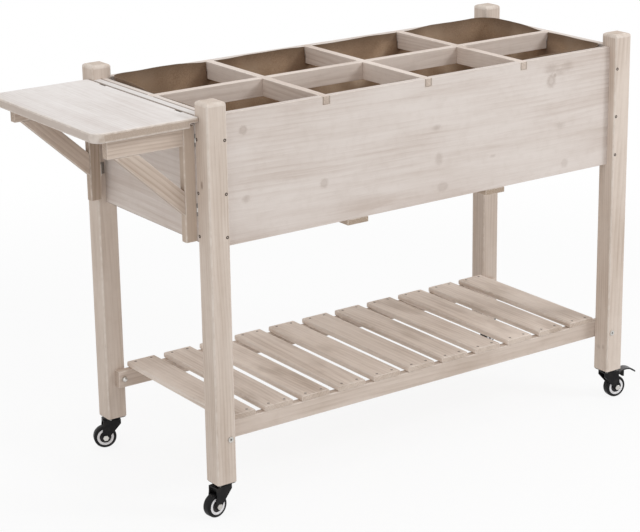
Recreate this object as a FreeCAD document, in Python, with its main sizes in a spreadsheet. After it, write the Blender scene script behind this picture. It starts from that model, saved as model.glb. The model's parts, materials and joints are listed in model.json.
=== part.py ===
import FreeCAD, Part
import math
import os
from types import SimpleNamespace

import Sketcher

# Raised planter: a wooden bed on four legs and casters, with a divider grid of eight cells, a slatted
# shelf, and a table leaf that two swing-out brackets carry.
# +Z is up with the floor at zero, X runs along the bed, Y across it, and the leaf is on the -X end.
# The origin is on the floor under the middle of the whole length, leaf and brake pedals included.

doc = FreeCAD.newDocument("raised_planter")
sheet = doc.addObject("Spreadsheet::Sheet", "sizes")

frame_sizes = {
    "bed_length": 1100,
    "bed_depth": 488,
    "leg_width": 45,
    "leg_length": 785,
    "leg_rise": 29,
    "leg_chamfer": 2.5,
    "leg_top_round": 8,
    "panel_height": 266,
    "panel_thick": 15,
    "panel_recess": 20,
    "groove_depth": 8,
    "floor_thick": 12,
    "floor_gap": 6,
    "batten_width": 52,
    "batten_thick": 12,
    "batten_spacing": 364,
    "cut_overrun": 5,
}
divider_sizes = {
    "divider_thick": 18,
    "divider_height": 38,
    "tongue_height": 18,
}
liner_sizes = {
    "liner_thick": 1.5,
    "liner_gap": 0.4,
}
shelf_sizes = {
    "rail_thick": 18,
    "rail_height": 38,
    "rail_rise": 74,
    "rail_inset": 20,
    "rail_chamfer": 1.5,
    "slat_width": 70,
    "slat_thick": 12,
    "slat_overhang": 2,
    "slat_end_gap": 7,
    "slat_chamfer": 2,
}
table_sizes = {
    "strip_height": 19.5,
    "leaf_length": 226,
    "leaf_inset": 26,
    "leaf_thick": 20,
    "leaf_gap": 2.5,
    "leaf_corner": 22,
    "leaf_chamfer": 2.5,
    "rebate_width": 18,
    "rebate_height": 10,
    "leaf_hinge_offset": 5.3,
    "leaf_hinge_radius": 4.3,
    "leaf_hinge_reach": 13.5,
    "hinge_notch": 4,
    "hinge_notch_room": 1,
}
bracket_sizes = {
    "bracket_thick": 18,
    "bracket_reach": 192,
    "bracket_foot": 14,
    "bracket_gap": 1,
    "bracket_clear": 0.4,
    "bracket_chamfer": 1.5,
    "upright_width": 26,
    "arm_height": 38,
    "brace_width": 35,
    "brace_reach": 150,
    "brace_drop": 138,
    "bracket_hinge_offset": 2.4,
    "bracket_hinge_radius": 2,
    "bracket_hinge_reach": 15,
}
hinge_sizes = {
    "hinge_length": 25,
    "hinge_plate": 1.2,
    "hinge_gap": 0.3,
    "hinge_pin_radius": 1.2,
}
caster_sizes = {
    "caster_height": 72,
    "caster_trail": 20,
    "top_plate_side": 40,
    "top_plate_thick": 2.5,
    "race_radius": 13,
    "race_height": 4,
    "swivel_gap": 0.3,
    "kingpin_radius": 4,
    "kingpin_head_radius": 7,
    "kingpin_head_thick": 2,
    "crown_thick": 2.5,
    "crown_front": 15,
    "crown_back": 24,
    "crown_skirt": 10,
    "cheek_thick": 2.5,
    "cheek_gap": 1.5,
    "boss_radius": 8,
    "wheel_radius": 25,
    "wheel_width": 19,
    "hub_radius": 18.5,
    "hub_side_gap": 0.5,
    "axle_radius": 4,
    "axle_head_radius": 6.5,
    "axle_head_thick": 3.5,
    "running_fit": 0.05,
}
pedal_sizes = {
    "pedal_pin_ahead": 18,
    "pedal_pin_drop": 15.5,
    "pedal_pin_radius": 2,
    "pedal_eye_radius": 4,
    "pedal_side_gap": 0.5,
    "pedal_thick": 3,
    "arch_radius": 34,
    "arch_ahead": 47,
    "arch_drop": 40,
    "arch_start": 42,
    "arch_sweep": 90,
    "web_drop": 13.5,
    "web_thick": 3,
    "web_reach": 9,
    "shoe_ahead": 36,
    "shoe_length": 4,
    "shoe_drop": 23.5,
    "shoe_height": 14,
}
floor_count = 4
slat_count = 11
cell_count = 4
knuckle_sides = 12
head_sides = 6
boss_sides = 8
rim_sides = 24
leaf_hinge_share = 0.34
bracket_hinge_shares = (0.27, 0.87)
caster_turns = {"front_left": 188, "front_right": -9, "back_left": 160, "back_right": 20}
braked = ("front_right", "back_right")

groups = (frame_sizes, divider_sizes, liner_sizes, shelf_sizes, table_sizes, bracket_sizes, hinge_sizes,
          caster_sizes, pedal_sizes)


class Size:
    # A length that carries the sheet expression it comes from
    def __init__(self, value, text):
        self.value = float(value)
        self.text = text

    def joined(self, sign, other, value):
        text = other.text if isinstance(other, Size) else repr(other)
        return Size(value, "(%s %s %s)" % (self.text, sign, text))

    def __add__(self, other):
        return self.joined("+", other, self.value + other.value)

    def __sub__(self, other):
        return self.joined("-", other, self.value - other.value)

    def __mul__(self, other):
        return self.joined("*", other, self.value * getattr(other, "value", other))

    def __truediv__(self, other):
        return self.joined("/", other, self.value / getattr(other, "value", other))

    def __neg__(self):
        return Size(-self.value, "(0 - %s)" % self.text)


def root(size):
    return Size(math.sqrt(size.value), "sqrt(%s)" % size.text)


row = 0
lengths = {}
for group in groups:
    for name, value in group.items():
        row += 1
        sheet.set("A%d" % row, str(value))
        sheet.setAlias("A%d" % row, name)
        lengths[name] = Size(value, "sizes." + name)
doc.recompute()
s = SimpleNamespace(**lengths)
zero = Size(0, "0")
nodes = []

axis_vectors = {"X": FreeCAD.Vector(1, 0, 0), "Y": FreeCAD.Vector(0, 1, 0), "Z": FreeCAD.Vector(0, 0, 1)}
rod_turns = {
    "X": FreeCAD.Rotation(axis_vectors["Y"], 90),
    "Y": FreeCAD.Rotation(axis_vectors["X"], -90),
    "Z": FreeCAD.Rotation(),
}


def node(item, label):
    item.Label = label
    nodes.append(item)
    return item


def put(item, x, y, z, turn=None):
    if turn is not None:
        item.Placement = FreeCAD.Placement(FreeCAD.Vector(), turn)
    for axis, size in zip("xyz", (x, y, z)):
        item.setExpression("Placement.Base." + axis, size.text)
    return item


def block(name, x, y, z):
    box = doc.addObject("Part::Box", name)
    for prop, (low, high) in zip(("Length", "Width", "Height"), (x, y, z)):
        box.setExpression(prop, (high - low).text)
    return put(box, x[0], y[0], z[0])


def rod(name, axis, x, y, z, radius):
    # a round bar whose centre line is a point in two axes and a (low, high) pair along the third
    spans = {"X": x, "Y": y, "Z": z}
    low, high = spans[axis]
    spans[axis] = low
    bar = doc.addObject("Part::Cylinder", name)
    bar.setExpression("Radius", radius.text)
    bar.setExpression("Height", (high - low).text)
    return put(bar, spans["X"], spans["Y"], spans["Z"], rod_turns[axis])


def prism(name, z, radius, sides):
    # an upright bar of even sides about the Z axis, between a (low, high) pair
    bar = doc.addObject("Part::Prism", name)
    bar.Polygon = sides
    bar.setExpression("Circumradius", radius.text)
    bar.setExpression("Height", (z[1] - z[0]).text)
    return put(bar, zero, zero, z[0])


def fuse(name, items):
    whole = doc.addObject("Part::MultiFuse", name)
    whole.Shapes = items
    return whole


def cut(name, base, tools):
    result = doc.addObject("Part::Cut", name)
    result.Base = base
    result.Tool = tools[0] if len(tools) == 1 else fuse(name + "_tools", tools)
    return result


def gather(name, items):
    group = doc.addObject("Part::Compound", name)
    group.Links = items
    return group


def outline(body, name, role, points):
    # a closed outline whose corners are held by dimensions from the sheet
    sketch = body.newObject("Sketcher::SketchObject", name)
    plane = [feature for feature in body.Origin.OriginFeatures if feature.Role == role][0]
    sketch.AttachmentSupport = [(plane, "")]
    sketch.MapMode = "FlatFace"
    corners = [FreeCAD.Vector(u.value, v.value, 0) for u, v in points]
    for start, end in zip(corners, corners[1:] + corners[:1]):
        sketch.addGeometry(Part.LineSegment(start, end))
    for i, (u, v) in enumerate(points):
        sketch.addConstraint(Sketcher.Constraint("Coincident", i, 2, (i + 1) % len(points), 1))
        for kind, axis, size in (("DistanceX", -2, u), ("DistanceY", -1, v)):
            if size is zero:
                sketch.addConstraint(Sketcher.Constraint("PointOnObject", i, 1, axis))
            else:
                held = sketch.addConstraint(Sketcher.Constraint(kind, -1, 1, i, 1, size.value))
                sketch.setExpression("Constraints[%d]" % held, size.text)
    return sketch


def circle(body, name, role, u, v, radius):
    sketch = body.newObject("Sketcher::SketchObject", name)
    plane = [feature for feature in body.Origin.OriginFeatures if feature.Role == role][0]
    sketch.AttachmentSupport = [(plane, "")]
    sketch.MapMode = "FlatFace"
    centre = FreeCAD.Vector(u.value, v.value, 0)
    sketch.addGeometry(Part.Circle(centre, axis_vectors["Z"], radius.value))
    for kind, axis, size in (("DistanceX", -2, u), ("DistanceY", -1, v)):
        if size is zero:
            sketch.addConstraint(Sketcher.Constraint("PointOnObject", 0, 3, axis))
        else:
            held = sketch.addConstraint(Sketcher.Constraint(kind, -1, 1, 0, 3, size.value))
            sketch.setExpression("Constraints[%d]" % held, size.text)
    held = sketch.addConstraint(Sketcher.Constraint("Radius", 0, radius.value))
    sketch.setExpression("Constraints[%d]" % held, radius.text)
    return sketch


def pad(body, name, sketch, length, side="One side", flip=False):
    feature = body.newObject("PartDesign::Pad", name)
    feature.Profile = sketch
    feature.SideType = side
    feature.Reversed = flip
    feature.setExpression("Length", length.text)
    body.Tip = feature
    return feature


def pocket(body, name, sketch, length, side="One side", flip=False):
    feature = body.newObject("PartDesign::Pocket", name)
    feature.Profile = sketch
    feature.SideType = side
    feature.Reversed = flip
    feature.setExpression("Length", length.text)
    body.Tip = feature
    return feature


def runs_along(edge, axis):
    chord = edge.Vertexes[-1].Point - edge.Vertexes[0].Point
    return chord.Length > 0 and chord.cross(axis_vectors[axis]).Length < 1e-6 * chord.Length


def dress(body, base, name, kind, size, wanted):
    # a Fillet or Chamfer on the wanted edges of a feature
    doc.recompute()
    feature = body.newObject("PartDesign::" + kind, name)
    feature.Base = (base, ["Edge%d" % (i + 1) for i, edge in enumerate(base.Shape.Edges) if wanted(edge)])
    feature.setExpression("Radius" if kind == "Fillet" else "Size", size.text)
    body.Tip = feature
    return feature


def board(name, x, y, z, along, size, kind="Chamfer", top_only=False):
    # a board between three (low, high) pairs, with its edges dressed along one axis
    body = doc.addObject("PartDesign::Body", name)
    length, width, height = x[1] - x[0], y[1] - y[0], z[1] - z[0]
    sketch = outline(body, name + "_section", "XY_Plane",
                     [(zero, zero), (length, zero), (length, width), (zero, width)])
    solid = pad(body, name + "_pad", sketch, height)
    dress(body, solid, name + "_edges", kind, size, lambda edge: runs_along(edge, along)
          and not (top_only and edge.CenterOfMass.z < height.value / 2))
    return put(body, x[0], y[0], z[0])


def inward(face, sign, near, far):
    # the span from near to far behind an outer face, as a (low, high) pair
    return (face + near, face + far) if sign > 0 else (face - far, face - near)


# Where the main faces lie
pedal_reach = s.arch_ahead + s.arch_radius * math.cos(math.radians(s.arch_start.value))
pedal_tip = s.bed_length - s.leg_width / 2 + pedal_reach * math.cos(math.radians(caster_turns["front_right"]))
leaf_reach = s.leaf_gap + s.leaf_length
leaf_width = s.bed_depth - s.leaf_inset * 2
left = (leaf_reach - pedal_tip) / 2
right = left + s.bed_length
front = -(s.bed_depth / 2)
back = s.bed_depth / 2
leg_foot = s.caster_height
leg_top = leg_foot + s.leg_length
bed_top = leg_top - s.leg_rise
bed_base = bed_top - s.panel_height
panel_start = s.leg_width - s.groove_depth
panel_back = s.panel_recess + s.panel_thick
corners = {
    "front_left": (left, 1, front, 1),
    "front_right": (right, -1, front, 1),
    "back_left": (left, 1, back, -1),
    "back_right": (right, -1, back, -1),
}

# Legs: square posts with rounded tops and a groove for each panel
for place, (x_face, x_sign, y_face, y_sign) in corners.items():
    name = "leg_" + place
    leg_x, leg_y = inward(x_face, x_sign, zero, s.leg_width), inward(y_face, y_sign, zero, s.leg_width)
    leg_z = (leg_foot, leg_top)
    rounds = [
        board(name + "_post", leg_x, leg_y, leg_z, "Z", s.leg_chamfer),
        board(name + "_crown_along", leg_x, leg_y, leg_z, "X", s.leg_top_round, "Fillet", True),
        board(name + "_crown_across", leg_x, leg_y, leg_z, "Y", s.leg_top_round, "Fillet", True),
    ]
    post = doc.addObject("Part::MultiCommon", name + "_rounded")
    post.Shapes = rounds
    groove = (panel_start, s.leg_width + s.cut_overrun)
    seat = (s.panel_recess, panel_back)
    node(cut(name, post, [
        block(name + "_long_groove", inward(x_face, x_sign, *groove), inward(y_face, y_sign, *seat),
              (bed_base, bed_top)),
        block(name + "_end_groove", inward(x_face, x_sign, *seat), inward(y_face, y_sign, *groove),
              (bed_base, bed_top)),
    ]), name)

# Panels: boards on edge in the leg grooves, notched at the top for the dividers' tongues
inner_length = s.bed_length - panel_back * 2
notch_floor = s.panel_height - s.tongue_height


def notched(length, middles):
    # a panel's outline, with one notch for each divider
    points = [(zero, zero), (length, zero), (length, s.panel_height)]
    for middle in reversed(middles):
        near, far = middle - s.divider_thick / 2, middle + s.divider_thick / 2
        points += [(far, s.panel_height), (far, notch_floor), (near, notch_floor), (near, s.panel_height)]
    return points + [(zero, s.panel_height)]


cross_middles = [panel_back + inner_length * (i / cell_count) for i in range(1, cell_count)]
side_length = s.bed_length - panel_start * 2
end_length = s.bed_depth - panel_start * 2
side_notches = [middle - panel_start for middle in cross_middles]
for label, y in (("panel_front", front + s.panel_recess), ("panel_back", back - panel_back)):
    body = doc.addObject("PartDesign::Body", label + "_board")
    pad(body, label + "_pad", outline(body, label + "_outline", "XZ_Plane", notched(side_length, side_notches)),
        s.panel_thick, flip=True)
    node(put(body, left + panel_start, y, bed_base), label)
for label, x in (("panel_left", left + s.panel_recess), ("panel_right", right - panel_back)):
    body = doc.addObject("PartDesign::Body", label + "_board")
    pad(body, label + "_pad", outline(body, label + "_outline", "YZ_Plane", notched(end_length, [end_length / 2])),
        s.panel_thick)
    node(put(body, x, front + panel_start, bed_base), label)

# Bed floor: boards along the bed, between the legs, on two battens under the panels
floor_x = (left + panel_back, right - panel_back)
floor_start = front + s.leg_width
floor_width = (s.bed_depth - s.leg_width * 2 - s.floor_gap * (floor_count - 1)) / floor_count
floor_boards = []
for i in range(floor_count):
    low = floor_start + (floor_width + s.floor_gap) * i
    floor_boards.append(block("floor_board_%d" % (i + 1), floor_x, (low, low + floor_width),
                              (bed_base, bed_base + s.floor_thick)))
node(gather("floor_group", floor_boards), "floor_boards")
bed_middle = (left + right) / 2
battens = []
for label, side in (("left", -1), ("right", 1)):
    middle = bed_middle + s.batten_spacing * (side / 2)
    battens.append(block("batten_" + label, (middle - s.batten_width / 2, middle + s.batten_width / 2),
                         (front + s.panel_recess, back - s.panel_recess), (bed_base - s.batten_thick, bed_base)))
node(gather("batten_group", battens), "floor_battens")

# Liner: an open tray of cloth that steps round the legs, its rim just under the dividers' tongues
def lining(name, gap, height):
    # a solid that fills the bed to a gap from the panels and legs
    x_low, x_leg = panel_back + gap, s.leg_width + gap
    x_high, x_far = s.bed_length - x_low, s.bed_length - x_leg
    y_high, y_far = s.bed_depth - x_low, s.bed_depth - x_leg
    body = doc.addObject("PartDesign::Body", name)
    pad(body, name + "_pad", outline(body, name + "_outline", "XY_Plane", [
        (x_leg, x_low), (x_far, x_low), (x_far, x_leg), (x_high, x_leg), (x_high, y_far), (x_far, y_far),
        (x_far, y_high), (x_leg, y_high), (x_leg, y_far), (x_low, y_far), (x_low, x_leg), (x_leg, x_leg)]), height)
    return body


liner_base = bed_base + s.floor_thick + s.liner_gap
liner_height = bed_top - s.tongue_height - s.liner_gap - liner_base
liner_inside = put(lining("liner_inside", s.liner_gap + s.liner_thick, liner_height), left, front,
                   liner_base + s.liner_thick)
node(cut("liner_tray", put(lining("liner_outside", s.liner_gap, liner_height), left, front, liner_base),
         [liner_inside]), "liner")

# Dividers: boards on edge with a tongue at each end, halved into each other where they cross
shoulder = s.panel_thick + s.liner_gap * 2 + s.liner_thick
tongue_floor = s.divider_height - s.tongue_height
half_height = s.divider_height / 2


def tongued(length, middles, from_top):
    # a divider's outline: tongues at both ends, and a half-lap slot at each crossing
    bottom = [(shoulder, tongue_floor), (shoulder, zero)]
    top = [(length - shoulder, zero), (length - shoulder, tongue_floor), (length, tongue_floor),
           (length, s.divider_height)]
    slots = []
    for middle in middles:
        near, far = middle - s.divider_thick / 2, middle + s.divider_thick / 2
        slots.append((near, far))
    for near, far in [] if from_top else slots:
        bottom += [(near, zero), (near, half_height), (far, half_height), (far, zero)]
    for near, far in reversed(slots) if from_top else []:
        top += [(far, s.divider_height), (far, half_height), (near, half_height), (near, s.divider_height)]
    return [(zero, tongue_floor)] + bottom + top + [(zero, s.divider_height)]


divider_base = bed_top - s.divider_height
long_length = s.bed_length - s.panel_recess * 2
cross_length = s.bed_depth - s.panel_recess * 2
body = doc.addObject("PartDesign::Body", "divider_long_board")
crossings = [middle - s.panel_recess for middle in cross_middles]
pad(body, "divider_long_pad", outline(body, "divider_long_outline", "XZ_Plane",
                                      tongued(long_length, crossings, True)), s.divider_thick, flip=True)
node(put(body, left + s.panel_recess, -(s.divider_thick / 2), divider_base), "divider_long")
for i, middle in enumerate(cross_middles):
    label = "divider_cross_%d" % (i + 1)
    body = doc.addObject("PartDesign::Body", label + "_board")
    pad(body, label + "_pad", outline(body, label + "_outline", "YZ_Plane",
                                      tongued(cross_length, [cross_length / 2], False)), s.divider_thick)
    node(put(body, left + middle - s.divider_thick / 2, front + s.panel_recess, divider_base), label)

# Shelf: two rails on the legs' inner faces, and slats across them
rail_z = (leg_foot + s.rail_rise, leg_foot + s.rail_rise + s.rail_height)
for label, face, sign in (("front", front, 1), ("back", back, -1)):
    name = "shelf_rail_" + label
    rail_y = inward(face, sign, s.leg_width, s.leg_width + s.rail_thick)
    node(board(name + "_board", (left + s.rail_inset, right - s.rail_inset), rail_y, rail_z, "X", s.rail_chamfer),
         name)
slat_y = (front + s.leg_width - s.slat_overhang, back - s.leg_width + s.slat_overhang)
slat_z = (rail_z[1], rail_z[1] + s.slat_thick)
slat_start = left + s.leg_width + s.slat_end_gap
slat_run = s.bed_length - (s.leg_width + s.slat_end_gap) * 2 - s.slat_width
for i in range(slat_count):
    label = "shelf_slat_%02d" % (i + 1)
    low = slat_start + slat_run * (i / (slat_count - 1))
    node(board(label + "_board", (low, low + s.slat_width), slat_y, slat_z, "Y", s.slat_chamfer), label)

# Hinge strip: fills the recess between the left legs, flush with the bed's top
node(block("strip", (left, left + s.panel_recess), (front + s.leg_width, back - s.leg_width),
           (bed_top - s.strip_height, bed_top)), "hinge_strip")

# Table leaf: a board with rounded outer corners, rebated underneath along its hinge edge
leaf_x = (left - leaf_reach, left - s.leaf_gap)
leaf_y = (-(leaf_width / 2), leaf_width / 2)
leaf_z = (bed_top - s.leaf_thick, bed_top)
lip_under = leaf_z[0] + s.rebate_height
leaf = doc.addObject("PartDesign::Body", "leaf_board")
sketch = outline(leaf, "leaf_outline", "XY_Plane", [(zero, zero), (s.leaf_length, zero),
                                                    (s.leaf_length, leaf_width), (zero, leaf_width)])
solid = pad(leaf, "leaf_pad", sketch, s.leaf_thick)
rounded = dress(leaf, solid, "leaf_corners", "Fillet", s.leaf_corner,
                lambda edge: runs_along(edge, "Z") and edge.CenterOfMass.x < s.leaf_length.value / 2)
dress(leaf, rounded, "leaf_edges", "Chamfer", s.leaf_chamfer,
      lambda edge: not runs_along(edge, "Z") and not
      (runs_along(edge, "Y") and edge.CenterOfMass.x > s.leaf_length.value / 2))
put(leaf, leaf_x[0], leaf_y[0], leaf_z[0])
hinge_middles = [leaf_width * (side * leaf_hinge_share) for side in (-1, 1)]
notch_half = s.hinge_length / 2 + s.hinge_notch_room
leaf_tools = [block("leaf_rebate", (leaf_x[1] - s.rebate_width, leaf_x[1] + s.cut_overrun),
                    (leaf_y[0] - s.cut_overrun, leaf_y[1] + s.cut_overrun),
                    (leaf_z[0] - s.cut_overrun, lip_under))]
for i, middle in enumerate(hinge_middles):
    leaf_tools.append(block("leaf_notch_%d" % (i + 1), (leaf_x[1] - s.hinge_notch, leaf_x[1] + s.cut_overrun),
                            (middle - notch_half, middle + notch_half), (leaf_z[0], leaf_z[1] + s.cut_overrun)))
node(cut("leaf_cut", leaf, leaf_tools), "table_leaf")


# Butt hinges. In a half's own frame the pin runs along Z through the origin, the wood that the half is
# screwed to lies at minus the offset in y, and the plate reaches out along x
def knuckle_spans():
    third = s.hinge_length / 3
    half = s.hinge_length / 2
    return ((-half, -half + third - s.hinge_gap), (-(third / 2), third / 2), (half - third + s.hinge_gap, half))


def hinge_half(name, offset, radius, reach, with_pin, place, axes):
    half = s.hinge_length / 2
    plate_y = (-offset, -offset + s.hinge_plate)
    clear = radius + s.hinge_gap
    low, middle, high = knuckle_spans()
    pieces = [block(name + "_plate", (clear, reach), plate_y, (-half, half))]
    for i, span in enumerate((low, high) if with_pin else (middle,)):
        pieces.append(block("%s_link_%d" % (name, i + 1), (zero, clear), plate_y, span))
        pieces.append(prism("%s_knuckle_%d" % (name, i + 1), span, radius, knuckle_sides))
    if with_pin:
        pieces.append(rod(name + "_pin", "Z", zero, zero, (-half, half), s.hinge_pin_radius))
        result = fuse(name, pieces)
    else:
        result = cut(name, fuse(name + "_body", pieces), [
            rod(name + "_bore", "Z", zero, zero, (-half, half), s.hinge_pin_radius + s.running_fit)])
    turn = FreeCAD.Rotation(*(FreeCAD.Vector(*axis) for axis in axes), "XYZ")
    return put(result, *place, turn)


fixed_halves = []
leaf_halves = []
leaf_pivot = (left - s.leaf_hinge_offset, lip_under - s.leaf_hinge_offset)
leaf_kind = (s.leaf_hinge_offset, s.leaf_hinge_radius, s.leaf_hinge_reach)
for i, middle in enumerate(hinge_middles):
    place = (leaf_pivot[0], middle, leaf_pivot[1])
    fixed_halves.append(hinge_half("leaf_hinge_fixed_%d" % (i + 1), *leaf_kind, True, place,
                                   ((0, 0, 1), (-1, 0, 0), (0, -1, 0))))
    leaf_halves.append(hinge_half("leaf_hinge_moving_%d" % (i + 1), *leaf_kind, False, place,
                                  ((-1, 0, 0), (0, 0, -1), (0, -1, 0))))
node(gather("leaf_hinges", leaf_halves), "leaf_hinge_plates")

# Brackets: triangular frames that swing on the left legs' inner faces and fold into the recess
bracket_top = leaf_z[0] - s.bracket_clear
arm_base = bracket_top - s.arm_height
upright_base = bed_base + s.bracket_foot
bracket_kind = (s.bracket_hinge_offset, s.bracket_hinge_radius, s.bracket_hinge_reach)
brace_long = root(s.brace_reach * s.brace_reach + s.brace_drop * s.brace_drop)
brace_top_width = s.brace_width * brace_long / s.brace_drop
brace_side_width = s.brace_width * brace_long / s.brace_reach
brace_face = left - s.upright_width
for label, face, sign in (("front", front, 1), ("back", back, -1)):
    name = "bracket_" + label
    span_y = inward(face, sign, s.leg_width + s.bracket_gap, s.leg_width + s.bracket_gap + s.bracket_thick)
    node(board(name + "_upright_board", (brace_face, left), span_y, (upright_base, bracket_top), "Z",
               s.bracket_chamfer), name + "_upright")
    node(board(name + "_arm_board", (left - s.bracket_reach, brace_face), span_y, (arm_base, bracket_top), "X",
               s.bracket_chamfer), name + "_arm")
    brace = doc.addObject("PartDesign::Body", name + "_brace_board")
    pad(brace, name + "_brace_pad", outline(brace, name + "_brace_outline", "XZ_Plane", [
        (zero, -s.brace_drop), (zero, brace_side_width - s.brace_drop),
        (brace_top_width - s.brace_reach, zero), (-s.brace_reach, zero)]), s.bracket_thick, flip=True)
    node(put(brace, brace_face, span_y[0], arm_base), name + "_brace")
    pivot_y = inward(face, sign, s.leg_width + s.bracket_hinge_offset, zero)[0] if sign > 0 else (
        face - s.leg_width - s.bracket_hinge_offset)
    moving = []
    for i, share in enumerate(bracket_hinge_shares):
        pivot = (left + s.bracket_hinge_offset, pivot_y, upright_base + (bracket_top - upright_base) * share)
        fixed_halves.append(hinge_half("%s_hinge_fixed_%d" % (name, i + 1), *bracket_kind, True, pivot,
                                       ((1, 0, 0), (0, sign, 0), (0, 0, sign))))
        moving.append(hinge_half("%s_hinge_moving_%d" % (name, i + 1), *bracket_kind, False, pivot,
                                 ((0, sign, 0), (1, 0, 0), (0, 0, -sign))))
    node(gather(name + "_hinges", moving), name + "_hinge_plates")
node(gather("fixed_hinges", fixed_halves), "fixed_hinge_plates")

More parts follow.
